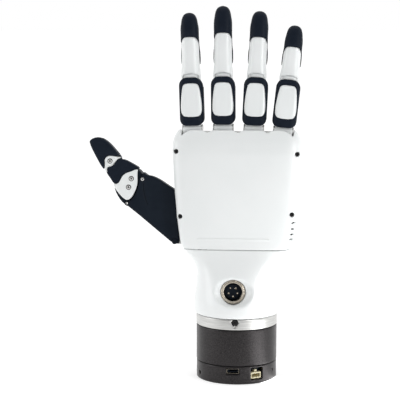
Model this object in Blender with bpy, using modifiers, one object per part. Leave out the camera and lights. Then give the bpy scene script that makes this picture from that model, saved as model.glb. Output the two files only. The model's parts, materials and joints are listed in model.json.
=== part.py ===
"""Powered prosthetic right hand, standing on its wrist coupling.

Frame: +Z runs from the wrist to the fingertips, -Y is the back of the hand and -X is the thumb's side.
The origin is the centre of the coupling's flat lower face. All sizes below are in millimetres and are
turned into metres by the helpers that make the shapes.
"""

import math

import bmesh
import bpy
from mathutils import Matrix, Vector

MM = 0.001
GAP = 0.3  # clearance between pieces that face each other

# Wrist coupling, from the lower face up
CAP_RADIUS = 28.3
CAP_TOP = 12.7
CAP_FLOOR = 3.0
HOUSING_RADIUS = 28.5
HOUSING_TOP = 38.3
HOUSING_BORE = 24.7
SPIGOT_RADIUS = 24.3
SPIGOT_LOW = 23.0
RING_RADIUS = 28.7
RING_TOP = 46.2
LOCK_SCREW_Z = 43.6
POWER_ANGLE = math.radians(33)  # how far round the coupling the power port is
SHELL_LOW = RING_TOP + GAP
SEAM_Z = 92.6  # line between the wrist shell and the covers of the palm
PALM_TOP = 176.0
PALM_FRONT_TOP = 160.8

# The skin of the wrist and the palm: height, half width, half depth, squareness
SKIN = (
    (45.5, 29.2, 29.2, 2.0),
    (48.0, 30.0, 30.0, 2.0),
    (56.0, 30.2, 29.6, 2.0),
    (66.0, 28.8, 27.0, 2.1),
    (74.0, 28.2, 23.8, 2.3),
    (80.0, 28.9, 20.6, 2.6),
    (85.0, 31.6, 17.8, 3.0),
    (89.0, 35.4, 16.2, 3.6),
    (92.6, 38.2, 15.4, 4.2),
    (98.0, 39.9, 15.2, 4.4),
    (114.0, 42.0, 15.2, 4.4),
    (135.0, 43.7, 15.2, 4.4),
    (160.0, 45.2, 14.6, 4.2),
    (167.0, 45.0, 13.6, 4.0),
    (171.0, 43.9, 12.6, 3.8),
    (174.0, 42.2, 11.7, 3.6),
    (176.0, 40.0, 11.0, 3.4),
)
WALL = 1.9
COVER_SPLIT_Y = -3.0  # the back cover is on the -Y side of this plane
DIP_RADIUS = 4.0  # the back cover's top edge dips between the fingers
DIP_DEPTH = 1.7
SCREW_PLACES = {  # the back cover's screws: x, z
    "cover_screw_upper_thumb_side": (-42.0, 161.0),
    "cover_screw_upper_outer_side": (42.0, 159.5),
    "cover_screw_lower_thumb_side": (-39.2, 115.5),
    "cover_screw_lower_outer_side": (38.6, 117.5),
}
SCREW_RADIUS = 1.35

# Fingers: knuckle x and z, splay in degrees, length from the middle joint to the tip, and length of
# the white part of that
FINGERS = {
    "index": (-31.0, 171.6, -1.8, 44.2, 27.4),
    "middle": (-9.6, 172.4, -0.4, 48.0, 29.6),
    "ring": (11.4, 172.0, 2.8, 45.0, 27.1),
    "little": (31.6, 170.6, 6.3, 36.9, 22.1),
}
MIDDLE_JOINT = 41.0
KNUCKLE_RADIUS = 7.2
KNUCKLE_HALF = 6.5
EAR_FACE = 6.8
EAR_RADIUS = 3.0
EAR_Z = 171.7
PIN_RADIUS = 1.5
PIN_HALF = 7.9
BORE_RADIUS = 1.8
CRANK_RADIUS = 5.5
CRANK_REST = math.radians(-45)
CRANK_PIN = 0.8
ROD_Y = -4.7
ROD_RADIUS = 1.4
FORK_HALF = 1.7  # half the slot in the knuckle that the rod's eye runs in
TONGUE_RADIUS = 6.2
TONGUE_HALF = 5.0
CHEEK_RADIUS = 5.6
DISTAL_HALF = 6.8
SLEEVE_HALF = 8.4
SLEEVE_BACK = -8.1
SLEEVE_FRONT = 7.6
SLEEVE_LOW = 6.6
SLEEVE_TOP = 40.6
PAD_SPLIT_Y = 1.6  # the white back of the fingertip lies on the -Y side of this plane

# Thumb, in its rest plane
THUMB_Y = 7.5
THUMB_HALF = 7.7
YAW_X = -35.0
YAW_BEARING = (101.4, 107.0)
ROOT_PIVOT = (-44.1, 96.0)
MIDDLE_PIVOT = (-74.7, 139.6)
TIP_PIVOT = (-89.9, 152.3)
TONGUE_REACH = 8.4  # how far the metacarpal's tongue reaches round the middle pivot
PLUG = (-1.6, 64.3)  # x and z of the plug in the neck

MATERIALS = {  # colour, metallic, roughness
    "white_shell": ((0.86, 0.87, 0.87), 0.0, 0.25),
    "black_rubber": ((0.025, 0.03, 0.038), 0.0, 0.65),
    "black_plastic": ((0.03, 0.033, 0.04), 0.0, 0.45),
    "dark_anodised": ((0.11, 0.105, 0.105), 0.7, 0.42),
    "brushed_aluminium": ((0.72, 0.72, 0.7), 1.0, 0.3),
    "steel": ((0.6, 0.59, 0.57), 1.0, 0.3),
    "connector_steel": ((0.55, 0.5, 0.42), 1.0, 0.25),
    "cream_nylon": ((0.78, 0.71, 0.52), 0.0, 0.5),
    "potting": ((0.05, 0.12, 0.09), 0.0, 0.5),
    "black_screw": ((0.03, 0.03, 0.03), 0.8, 0.4),
}


def clear_scene():
    for obj in list(bpy.data.objects):
        bpy.data.objects.remove(obj, do_unlink=True)


def new_collection(name):
    made = bpy.data.collections.new(name)
    bpy.context.scene.collection.children.link(made)
    return made


def new_material(name):
    colour, metallic, roughness = MATERIALS[name]
    made = bpy.data.materials.new(name)
    made.use_nodes = True
    shader = made.node_tree.nodes["Principled BSDF"]
    shader.inputs["Base Color"].default_value = (*colour, 1.0)
    shader.inputs["Metallic"].default_value = metallic
    shader.inputs["Roughness"].default_value = roughness
    return made


clear_scene()
HAND = new_collection("prosthetic_hand")
CUTTERS = new_collection("cutters")
CUTTERS.hide_render = True
FINISHES = {name: new_material(name) for name in MATERIALS}


def place(mesh, name, finish=None, parent=None):
    """The mesh as an object of the hand, or as a cutter if it has no finish."""
    obj = bpy.data.objects.new(name, mesh)
    if finish is None:
        CUTTERS.objects.link(obj)
        obj.hide_render = True
        obj.display_type = "WIRE"
    else:
        HAND.objects.link(obj)
        mesh.materials.append(FINISHES[finish])
    obj.parent = parent
    return obj


def mesh_from(shape, name):
    bmesh.ops.recalc_face_normals(shape, faces=shape.faces)
    mesh = bpy.data.meshes.new(name)
    shape.to_mesh(mesh)
    shape.free()
    mesh.shade_smooth()
    mesh.set_sharp_from_angle(angle=math.radians(35))
    return mesh


def box(name, low, high, finish=None, parent=None):
    low, high = Vector(low) * MM, Vector(high) * MM
    shape = bmesh.new()
    size = Matrix.Diagonal((*(high - low), 1.0))
    bmesh.ops.create_cube(shape, size=1.0, matrix=Matrix.Translation((low + high) / 2) @ size)
    return place(mesh_from(shape, name), name, finish, parent)


def rod(name, radius, start, end, finish=None, parent=None, sides=20, end_radius=None):
    """A cylinder, or a cone, from start to end."""
    start, end = Vector(start) * MM, Vector(end) * MM
    turn = (end - start).to_track_quat("Z", "Y").to_matrix().to_4x4()
    shape = bmesh.new()
    bmesh.ops.create_cone(
        shape,
        cap_ends=True,
        segments=sides,
        radius1=radius * MM,
        radius2=(radius if end_radius is None else end_radius) * MM,
        depth=(end - start).length,
        matrix=Matrix.Translation((start + end) / 2) @ turn,
    )
    return place(mesh_from(shape, name), name, finish, parent)


def turned(name, profile, finish, steps=48, closed=False):
    """A solid of revolution about Z. The profile lists (radius, z) down the outer side."""
    shape = bmesh.new()
    points = [shape.verts.new((radius * MM, 0, z * MM)) for radius, z in profile]
    for a, b in zip(points, points[1:] + points[:1] if closed else points[1:]):
        shape.edges.new((a, b))
    mesh = bpy.data.meshes.new(name)
    shape.to_mesh(mesh)
    shape.free()
    obj = place(mesh, name, finish)
    screw = obj.modifiers.new("turn", "SCREW")
    screw.steps = screw.render_steps = steps
    screw.use_merge_vertices = True
    screw.merge_threshold = 0.00001
    screw.use_smooth_shade = False
    return obj


def loft(name, rings, finish=None, parent=None):
    """A closed skin over rings that all have the same number of points, in millimetres."""
    shape = bmesh.new()
    rows = [[shape.verts.new(Vector(point) * MM) for point in ring] for ring in rings]
    for low, high in zip(rows, rows[1:]):
        for i in range(len(low)):
            j = (i + 1) % len(low)
            shape.faces.new((low[i], low[j], high[j], high[i]))
    shape.faces.new(rows[0][::-1])
    shape.faces.new(rows[-1])
    return place(mesh_from(shape, name), name, finish, parent)


def plate(name, outline, y_low, y_high, finish=None, parent=None):
    """A flat outline in the XZ plane, as a filled curve given its thickness along Y."""
    curve = bpy.data.curves.new(name, "CURVE")
    curve.dimensions = "2D"
    curve.fill_mode = "BOTH"
    curve.extrude = (y_high - y_low) / 2 * MM
    spline = curve.splines.new("POLY")
    spline.points.add(len(outline) - 1)
    for point, (x, z) in zip(spline.points, outline):
        point.co = (x * MM, z * MM, 0, 1)
    spline.use_cyclic_u = True
    guide = bpy.data.objects.new(name, curve)
    HAND.objects.link(guide)
    bpy.context.view_layer.update()
    mesh = bpy.data.meshes.new_from_object(guide.evaluated_get(bpy.context.evaluated_depsgraph_get()))
    bpy.data.objects.remove(guide, do_unlink=True)
    shape = bmesh.new()
    shape.from_mesh(mesh)
    bpy.data.meshes.remove(mesh)
    bmesh.ops.remove_doubles(shape, verts=shape.verts, dist=0.00001)
    stand_up = Matrix.Translation((0, (y_low + y_high) / 2 * MM, 0)) @ Matrix.Rotation(math.pi / 2, 4, "X")
    bmesh.ops.transform(shape, matrix=stand_up, verts=shape.verts)
    return place(mesh_from(shape, name), name, finish, parent)


def combine(obj, operation, *others):
    """Boolean modifiers on obj, one for each other shape."""
    for other in others:
        modifier = obj.modifiers.new(operation.lower(), "BOOLEAN")
        modifier.operation = operation
        modifier.solver = "EXACT"
        modifier.object = other
    return obj


def cut(obj, *others):
    return combine(obj, "DIFFERENCE", *others)


def join(obj, *others):
    return combine(obj, "UNION", *others)


def arc(centre, radius, start, end, steps):
    """Points on a circle, angles in degrees."""
    angles = [math.radians(start + (end - start) * i / steps) for i in range(steps + 1)]
    return [(centre[0] + radius * math.cos(a), centre[1] + radius * math.sin(a)) for a in angles]


def rounded_outline(low, high, radius, steps=4):
    """A rectangle with round corners in the XZ plane."""
    (x0, z0), (x1, z1) = low, high
    corners = (
        ((x1 - radius, z0 + radius), -90),
        ((x1 - radius, z1 - radius), 0),
        ((x0 + radius, z1 - radius), 90),
        ((x0 + radius, z0 + radius), 180),
    )
    return [p for centre, start in corners for p in arc(centre, radius, start, start + 90, steps)]


def sector(centre, near, far, start, end, steps=10):
    """The outline of a part of a ring, angles in degrees."""
    return arc(centre, near, start, end, steps) + arc(centre, far, end, start, steps)


def grown(outline, margin):
    """An outline moved outward on all sides. Its points run clockwise or anticlockwise."""
    area = sum(a[0] * b[1] - b[0] * a[1] for a, b in zip(outline, outline[1:] + outline[:1]))
    side = math.copysign(1, area)
    moved = []
    for i, point in enumerate(outline):
        before, after = Vector(outline[i - 1]), Vector(outline[(i + 1) % len(outline)])
        here = Vector(point)
        into, away = (here - before).normalized(), (after - here).normalized()
        normal = Vector((into.y + away.y, -into.x - away.x)).normalized() * side
        lean = max(0.4, normal.dot(Vector((into.y, -into.x)) * side))
        moved.append(tuple(here + normal * margin / lean))
    return tuple(moved)


def oval(half_x, half_y, power, count):
    """A superellipse: power 2 is an ellipse, and a higher power is squarer."""
    points = []
    for i in range(count):
        a = 2 * math.pi * (i + 0.5) / count
        c, s = math.cos(a), math.sin(a)
        x = math.copysign(abs(c) ** (2 / power), c) * half_x
        y = math.copysign(abs(s) ** (2 / power), s) * half_y
        points.append((x, y))
    return points


def skin_at(z):
    """Half width, half depth and squareness of the skin at a height."""
    if z <= SKIN[0][0]:
        return SKIN[0][1:]
    for (z0, *low), (z1, *high) in zip(SKIN, SKIN[1:]):
        if z <= z1:
            t = (z - z0) / (z1 - z0)
            return [a + (b - a) * t for a, b in zip(low, high)]
    return SKIN[-1][1:]


def skin_solid(name, z_low, z_high, inset, finish=None, count=36):
    """The solid inside the skin between two heights, drawn in by inset on all sides."""
    heights = [z_low, *(z for z, *_ in SKIN if z_low + 0.5 < z < z_high - 0.5), z_high]
    rings = []
    for z in heights:
        half_x, half_y, power = skin_at(z)
        rings.append([(x, y, z) for x, y in oval(half_x - inset, half_y - inset, power, count)])
    return loft(name, rings, finish)


def make_coupling():
    """The dark wrist coupling that the socket holds, and the aluminium ring that turns in it."""
    inner = HOUSING_BORE
    cap = turned(
        "coupling_cap",
        [(0, CAP_FLOOR), (inner, CAP_FLOOR), (inner, CAP_TOP), (CAP_RADIUS, CAP_TOP)]
        + [(CAP_RADIUS, 0.6), (CAP_RADIUS - 0.6, 0), (0, 0)],
        "dark_anodised",
    )
    data_hole = box("data_port_hole", (-6.2, -30, 7.1), (3.4, -20, 11.3))
    power_hole = box("power_port_hole", (-4.9, -30, 2.8), (4.9, -20, 11.6))
    power_hole.rotation_euler.z = POWER_ANGLE
    cut(cap, data_hole, power_hole)
    turned(
        "coupling_housing",
        [(inner, HOUSING_TOP), (HOUSING_RADIUS - 0.3, HOUSING_TOP), (HOUSING_RADIUS, HOUSING_TOP - 0.3)]
        + [(HOUSING_RADIUS, CAP_TOP + GAP), (inner, CAP_TOP + GAP)],
        "dark_anodised",
        closed=True,
    )
    ring = turned(
        "wrist_ring",
        [(0, RING_TOP), (RING_RADIUS, RING_TOP), (RING_RADIUS - 0.3, HOUSING_TOP + GAP)]
        + [(SPIGOT_RADIUS, HOUSING_TOP + GAP), (SPIGOT_RADIUS, SPIGOT_LOW), (0, SPIGOT_LOW)],
        "brushed_aluminium",
    )
    z = LOCK_SCREW_Z
    cut(ring, rod("lock_screw_seat", 2.3, (0, -31, z), (0, -23.8, z)))
    lock = rod("ring_lock_screw", 2.0, (0, -27.7, z), (0, -24.2, z), "black_screw", sides=16)
    cut(lock, rod("lock_screw_socket", 1.0, (0, -29, z), (0, -26.3, z), sides=6))
    module = turned(
        "signal_module",
        [(0, SPIGOT_LOW - 0.6), (inner - 0.7, SPIGOT_LOW - 0.6), (inner - 0.7, CAP_FLOOR + GAP)]
        + [(0, CAP_FLOOR + GAP)],
        "potting",
        steps=32,
    )
    data_room = box("data_port_room", (-7, -28, 0), (3.9, -17.6, 12.4))
    power_room = box("power_port_room", (-5.6, -28, 0), (5.6, -16.4, 12.5))
    power_room.rotation_euler.z = POWER_ANGLE
    cut(module, data_room, power_room)
    data_port = box("data_port", (-5.9, -26.6, 7.4), (3.1, -18, 11.0), "connector_steel")
    cut(data_port, box("data_port_mouth", (-5.2, -28, 8.0), (2.4, -20.5, 10.4)))
    power_port = box("power_port", (-4.2, -27.0, 3.3), (4.2, -17.2, 10.4), "cream_nylon")
    mouth = box("power_port_mouth", (-3.2, -29, 4.3), (3.2, -19.5, 8.1))
    latch = box("power_port_latch_gap", (-1.6, -29, 8.0), (1.6, -24.5, 11.5))
    for obj in (power_port, mouth, latch):
        obj.rotation_euler.z = POWER_ANGLE
    cut(power_port, mouth, latch)


def make_wrist_shell():
    """The white neck between the ring and the palm, with its plug socket."""
    x, z = PLUG
    shell = skin_solid("wrist_shell", SHELL_LOW, SEAM_Z - GAP / 2, 0, "white_shell", count=44)
    hollow = skin_solid("wrist_hollow", SHELL_LOW - 3, SEAM_Z + 3, WALL, count=36)
    boss = rod("plug_boss", 12.6, (x, -24.5, z), (x, -13, z), sides=28)
    dish = rod("plug_dish", 15.4, (x, -32, z), (x, -20.0, z), sides=32, end_radius=9.4)
    bore = rod("plug_bore", 9.0, (x, -24, z), (x, -10, z), sides=28)
    trimmed = skin_solid("boss_trim", SHELL_LOW, SEAM_Z - GAP / 2, 0.5, count=32)
    combine(boss, "INTERSECT", trimmed)
    cut(shell, hollow)
    join(shell, boss)
    cut(shell, dish, bore)
    sleeve = rod("plug_socket", 8.6, (x, -22.6, z), (x, -10.4, z), "connector_steel", sides=28)
    cut(sleeve, rod("plug_socket_bore", 6.4, (x, -25, z), (x, -9, z), sides=28))
    insert = rod("plug_insert", 6.0, (x, -14.6, z), (x, -10.8, z), "black_plastic", sides=20)
    for i in range(5):
        a = math.radians(-90 + 72 * i)
        u, v = x + 3.2 * math.cos(a), z + 3.2 * math.sin(a)
        join(insert, rod(f"plug_pin_{i}", 0.55, (u, -18.0, v), (u, -13.5, v), sides=8))


def make_covers(frames):
    """The back cover with its four screws, and the palm cover with the room that the thumb swings in."""
    low, high = SEAM_Z + GAP / 2, PALM_TOP
    back = skin_solid("back_cover", low, high, 0, "white_shell", count=44)
    front = skin_solid("palm_cover", low, PALM_FRONT_TOP, 0, "white_shell", count=44)
    hollow = skin_solid("palm_hollow", low - 4, high + 4, WALL, count=36)
    back_side = box("back_side", (-60, COVER_SPLIT_Y, 80), (60, 40, 190))
    front_side = box("front_side", (-60, -40, 80), (60, COVER_SPLIT_Y + GAP, 190))
    room = box("thumb_room", (-60, -4, 80), (-23.2, 30, 152.5))
    cut(back, hollow, back_side)
    cut(front, hollow, front_side, room)
    for name, frame in frames.items():
        cut(back, box(name + "_cover_room", (-7.3, -8.9, -8.4), (7.3, 14, 14), parent=frame))
    knuckle_x = [x for x, *_ in FINGERS.values()]
    for a, b in zip(knuckle_x, knuckle_x[1:]):
        x, z = (a + b) / 2, PALM_TOP + DIP_RADIUS - DIP_DEPTH
        cut(back, rod("edge_dip", DIP_RADIUS, (x, -22, z), (x, 4, z), sides=32))
    for name, (x, z) in SCREW_PLACES.items():
        half_x, half_y, power = skin_at(z)
        y = -half_y * (1 - (abs(x) / half_x) ** power) ** (1 / power)
        seat = rod(name + "_seat", SCREW_RADIUS + GAP, (x, y - 8, z), (x, COVER_SPLIT_Y + 4, z), sides=12)
        px, post_end = x * 0.985, COVER_SPLIT_Y - 0.1
        post = rod(name + "_post", 2.5, (px, y + 0.4, z), (px, post_end, z), sides=12)
        if skin_at(z)[0] - abs(x) < 3.2:
            combine(post, "INTERSECT", skin_solid(name + "_trim", z - 4, z + 4, 0.2, count=36))
        join(back, post)
        cut(back, seat)
        screw = rod(name, SCREW_RADIUS, (x, y + 0.2, z), (x, COVER_SPLIT_Y + 0.1, z), "black_screw", sides=12)
        cut(screw, rod(name + "_socket", 0.7, (x, y - 1, z), (x, y + 1.4, z), sides=6))


def finger_frame(name):
    """An empty at the finger's knuckle axis, turned by the finger's splay."""
    x, z, splay, *_ = FINGERS[name]
    frame = bpy.data.objects.new(name + "_knuckle_axis", None)
    frame.location = Vector((x, 0, z)) * MM
    frame.rotation_euler.y = math.radians(splay)
    HAND.objects.link(frame)
    return frame


def make_palm_frame(frames):
    """The aluminium chassis: a foot in the wrist, a spine, a deck, and a comb that holds the knuckle pins."""
    chassis = box("palm_frame", (-21, -0.9, 82), (37, 1.7, 157), "brushed_aluminium")
    foot = rod("frame_foot", 13.0, (0, 4.2, RING_TOP + GAP), (0, 4.2, 84), sides=28)
    shoulder = box("frame_shoulder", (-20, -0.4, 80), (26, 11.6, 87.5))
    deck = box("frame_deck", (-38.0, -8.0, 156.1), (38.2, 4.8, 163.4))
    comb = box("frame_comb", (-50, -EAR_RADIUS, 164.2), (50, EAR_RADIUS, EAR_Z))
    comb_top = rod("frame_comb_top", EAR_RADIUS, (-50, 0, EAR_Z), (50, 0, EAR_Z), sides=20)
    low, high = YAW_BEARING
    arm = box("thumb_arm", (YAW_X, THUMB_Y - 2.6, low + 0.3), (-16, THUMB_Y + 2.4, high - 0.3))
    stand = box("thumb_stand", (-19, 0.4, low + 0.6), (-15, 8.5, high - 0.6))
    bearing = rod("yaw_bearing", 4.6, (YAW_X, THUMB_Y, low), (YAW_X, THUMB_Y, high), sides=24)
    comb_root = box("frame_comb_root", (-39.8, -2.7, 158.5), (41.2, 2.8, 166))
    join(comb, comb_top, comb_root)
    join(chassis, foot, shoulder, deck, comb, stand, arm)
    combine(chassis, "INTERSECT", skin_solid("frame_trim", SHELL_LOW - 2, PALM_TOP + 4, WALL + 0.5, count=36))
    join(chassis, bearing)
    for name, frame in frames.items():
        bore = rod(name + "_ear_bore", BORE_RADIUS, (-12, 0, 0), (12, 0, 0), parent=frame, sides=12)
        sweep = box(name + "_knuckle_room", (-EAR_FACE, -12, -8.0), (EAR_FACE, 12, 12), parent=frame)
        slot = box(name + "_rod_slot", (-2.2, -9.2, -30), (2.2, -1.4, 0), parent=frame)
        cut(chassis, sweep, bore, slot)
    cut(chassis, rod("yaw_bore", 2.8, (YAW_X, THUMB_Y, 98), (YAW_X, THUMB_Y, 110), sides=20))


def make_drive(name, frame):
    """One finger's linear actuator and the push rod whose slotted eye turns the knuckle's crank pin."""
    actuator = box(name + "_actuator", (-4.7, -8.1, -58), (4.7, -1.3, -21), "black_plastic", frame)
    nose = rod(name + "_actuator_nose", 2.7, (0, ROD_Y, -22), (0, ROD_Y, -17.5), parent=frame, sides=16)
    motor = rod(name + "_actuator_motor", 3.2, (0, ROD_Y, -57), (0, ROD_Y, -70), parent=frame, sides=16)
    bore = rod(name + "_rod_bore", BORE_RADIUS, (0, ROD_Y, -38), (0, ROD_Y, -16), parent=frame, sides=12)
    join(actuator, nose, motor)
    cut(actuator, bore)
    eye_z = CRANK_RADIUS * math.sin(CRANK_REST)
    low, high = (0, ROD_Y, -36), (0, ROD_Y, eye_z - 1.6)
    push = rod(name + "_push_rod", ROD_RADIUS, low, high, "steel", frame, sides=12)
    eye = box(name + "_rod_eye", (-1.2, -7.45, eye_z - 2), (1.2, -1.95, eye_z + 2), parent=frame)
    slot = box(name + "_eye_slot", (-3, -6.6, eye_z - 1.15), (3, -2.8, eye_z + 1.15), parent=frame)
    join(push, eye)
    cut(push, slot)


def make_proximal(name, frame):
    """The white phalanx with its fork and crank pin, the rubber sleeve round it, its cover and its pins."""
    r, half = KNUCKLE_RADIUS, KNUCKLE_HALF
    link = rod(name + "_proximal_link", r, (-half, 0, 0), (half, 0, 0), "white_shell", frame, sides=28)
    neck_top = SLEEVE_LOW - GAP
    neck = box(name + "_neck", (-half, -r, 0), (half, r, neck_top), parent=frame)
    collar = box(name + "_collar", (-7.2, -6.6, 5.2), (7.2, 6.6, neck_top - 0.1), parent=frame)
    core = box(name + "_core", (-6, -6, 5), (6, 6, 33.4), parent=frame)
    web = box(name + "_web", (-TONGUE_HALF, -5.9, 30), (TONGUE_HALF, 5.9, MIDDLE_JOINT), parent=frame)
    tongue = rod(
        name + "_tongue",
        TONGUE_RADIUS,
        (-TONGUE_HALF, 0, MIDDLE_JOINT),
        (TONGUE_HALF, 0, MIDDLE_JOINT),
        parent=frame,
        sides=28,
    )
    fork = box(name + "_fork_slot", (-FORK_HALF, -9, -9), (FORK_HALF, 9, 0.7), parent=frame)
    y, z = -CRANK_RADIUS * math.cos(CRANK_REST), CRANK_RADIUS * math.sin(CRANK_REST)
    crank = rod(name + "_crank_pin", CRANK_PIN, (-4, y, z), (4, y, z), parent=frame, sides=10)
    bore = rod(name + "_knuckle_bore", BORE_RADIUS, (-9, 0, 0), (9, 0, 0), parent=frame, sides=12)
    far_bore = rod(
        name + "_middle_bore", 1.5, (-9, 0, MIDDLE_JOINT), (9, 0, MIDDLE_JOINT), parent=frame, sides=12
    )
    join(link, neck, collar, core, web, tongue)
    cut(link, fork)
    join(link, crank)
    cut(link, bore, far_bore)

    outline = rounded_outline((-SLEEVE_HALF, SLEEVE_LOW), (SLEEVE_HALF, SLEEVE_TOP), 5.0)
    sleeve = plate(name + "_proximal_sleeve", outline, SLEEVE_BACK, SLEEVE_FRONT, "black_rubber", frame)
    through = box(name + "_sleeve_bore", (-6.3, -6.3, 0), (6.3, 6.3, 50), parent=frame)
    opening = rounded_outline((-7.2, 13.3), (7.2, 36.8), 5.0)
    window = plate(name + "_sleeve_window", opening, -10, -6.0, parent=frame)
    joint_room = rod(
        name + "_joint_room", 6.45, (-9, 0, MIDDLE_JOINT), (9, 0, MIDDLE_JOINT), parent=frame, sides=24
    )
    relief = box(name + "_flex_relief", (-9, -2, 33.5), (9, 10, 50), parent=frame)
    cut(sleeve, through, window, joint_room, relief)
    inset = rounded_outline((-6.9, 13.6), (6.9, 36.5), 4.7)
    plate(name + "_proximal_cover", inset, SLEEVE_BACK - 0.3, -6.3, "white_shell", frame)
    rod(name + "_knuckle_pin", PIN_RADIUS, (-PIN_HALF, 0, 0), (PIN_HALF, 0, 0), "steel", frame, sides=12)


def distal_rings(length):
    """Rings of the last phalanx from above the middle joint to the tip, heights from the joint."""
    shape = (
        (3.4, DISTAL_HALF, 6.5),
        (length * 0.3, 6.7, 6.5),
        (length - 16.0, 6.4, 6.4),
        (length - 9.0, 6.3, 6.1),
        (length - 4.6, 5.6, 5.3),
        (length - 1.6, 4.1, 3.9),
        (length - 0.2, 1.9, 1.9),
    )
    power = 2.7
    return [
        [(x, y, MIDDLE_JOINT + z) for x, y in oval(half_x, half_y, power, 24)] for z, half_x, half_y in shape
    ]


def make_distal(name, frame):
    """The last phalanx: a white back with two cheeks, and a rubber tip that runs down the palm side."""
    *_, length, white = FINGERS[name]
    joint = MIDDLE_JOINT
    link = loft(name + "_distal_link", distal_rings(length), "white_shell", frame)
    low, high = (-DISTAL_HALF, 0, joint), (DISTAL_HALF, 0, joint)
    cheeks = rod(name + "_cheeks", CHEEK_RADIUS, low, high, parent=frame, sides=24)
    low, high = (-DISTAL_HALF, -5.4, joint), (DISTAL_HALF, PAD_SPLIT_Y, joint + 6)
    root = box(name + "_cheek_root", low, high, parent=frame)
    palm_side = box(name + "_palm_side", (-10, PAD_SPLIT_Y, joint + 2.0), (10, 10, joint + 60), parent=frame)
    beyond = box(name + "_beyond", (-10, -10, joint + white), (10, 10, joint + 60), parent=frame)
    room = TONGUE_HALF + GAP
    low, high = (-room, 0, joint), (room, 0, joint)
    tongue_room = rod(name + "_tongue_room", TONGUE_RADIUS + 0.4, low, high, parent=frame, sides=28)
    web_room = box(name + "_web_room", (-room, -6.6, joint - 8), (room, 6.6, joint), parent=frame)
    pin = rod(name + "_middle_pin", 1.2, (-6.2, 0, joint), (6.2, 0, joint), parent=frame, sides=12)
    cut(link, palm_side, beyond)
    join(link, cheeks, root)
    cut(link, tongue_room, web_room)
    join(link, pin)
    pad = loft(name + "_fingertip", distal_rings(length), "black_rubber", frame)
    back = box(
        name + "_tip_back", (-10, -10, joint - 5), (10, PAD_SPLIT_Y + GAP, joint + white + GAP), parent=frame
    )
    heel = box(name + "_tip_heel", (-10, -10, joint - 5), (10, 10, joint + 8.0), parent=frame)
    cut(pad, back, heel)


WEDGE = (
    (-86.8, 133.8),
    (-85.0, 130.4),
    (-82.4, 127.2),
    (-79.2, 123.4),
    (-76.8, 120.0),
    (-73.8, 117.0),
    (-52.9, 100.0),
    (-48.0, 95.6),
    (-45.6, 93.6),
    (-42.4, 93.2),
    (-41.6, 95.4),
    (-41.6, 112.0),
    (-42.6, 131.6),
    (-48.6, 135.6),
    (-54.3, 139.8),
    (-60.0, 142.6),
    (-63.4, 143.3),
    (-68.8, 147.8),
    (-72.0, 148.6),
    (-86.0, 140.0),
)
CHEEK_ROOM = (
    (-64.0, 152.6),
    (-61.6, 147.0),
    (-66.0, 144.0),
    (-68.4, 141.0),
    (-69.1, 137.4),
    (-70.0, 133.4),
    (-72.4, 128.4),
    (-75.0, 124.8),
    (-77.6, 123.4),
    (-82.0, 121.0),
    (-93.0, 126.0),
    (-98.0, 136.0),
    (-98.0, 156.0),
)
CHEEK = (
    (-71.6, 146.3),
    (-70.3, 143.4),
    (-70.3, 138.1),
    (-71.2, 134.0),
    (-73.2, 129.3),
    (-75.6, 126.0),
    (-78.0, 124.9),
    (-80.7, 126.6),
    (-83.8, 130.0),
    (-85.8, 132.7),
    (-87.2, 135.4),
    (-83.7, 136.2),
    (-82.1, 138.8),
    (-79.3, 142.0),
    (-74.5, 144.8),
)
CORE = (
    (-87.2, 135.6),
    (-90.4, 142.6),
    (-90.6, 146.6),
    (-88.0, 149.8),
    (-84.6, 151.4),
    (-80.6, 152.4),
    (-77.6, 151.2),
    (-74.0, 147.0),
    (-79.0, 140.0),
    (-82.6, 133.6),
)
MIDDLE_PAD = (
    (-92.6, 145.2),
    (-91.4, 148.2),
    (-86.4, 152.6),
    (-82.3, 154.5),
    (-79.6, 154.4),
    (-74.0, 151.6),
    (-69.0, 148.4),
    (-70.6, 146.7),
    (-74.2, 145.3),
    (-79.0, 142.6),
    (-82.0, 139.8),
    (-83.7, 137.2),
    (-87.1, 136.0),
    (-88.4, 136.8),
    (-92.4, 142.3),
)
TIP = (
    (-104.5, 165.3),
    (-103.0, 167.6),
    (-100.0, 169.2),
    (-96.6, 169.2),
    (-92.4, 167.6),
    (-87.6, 163.2),
    (-83.2, 157.4),
    (-87.0, 155.8),
    (-92.0, 151.6),
    (-94.8, 147.0),
)
EAR = tuple(arc(TIP_PIVOT, 3.4, 120, 330, 12) + [(-84.2, 150.9), (-87.4, 154.9)])


def make_thumb_base():
    """The turning bracket at the thumb's foot, and the servo that turns it."""
    y = THUMB_Y
    rx, rz = ROOT_PIVOT
    low, high = YAW_BEARING
    bottom, top = (YAW_X, y, rz - 2.6), (YAW_X, y, low - GAP)
    bracket = rod("thumb_bracket", 4.0, bottom, top, "brushed_aluminium", sides=24)
    tongue = box("bracket_tongue", (rx, y - 3.0, rz - 2.5), (YAW_X, y + 3.0, rz + 2.5))
    nose = rod("bracket_nose", 2.5, (rx, y - 3.0, rz), (rx, y + 3.0, rz), sides=20)
    shaft = rod("bracket_shaft", 2.4, (YAW_X, y, rz), (YAW_X, y, high + 0.4), sides=20)
    join(bracket, tongue, nose, shaft)
    cut(bracket, rod("bracket_bore", BORE_RADIUS - 0.1, (rx, y - 9, rz), (rx, y + 9, rz), sides=12))
    box("thumb_servo", (-28, 2.3, 89.5), (-10, 11.0, low - 0.4), "black_plastic")


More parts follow.
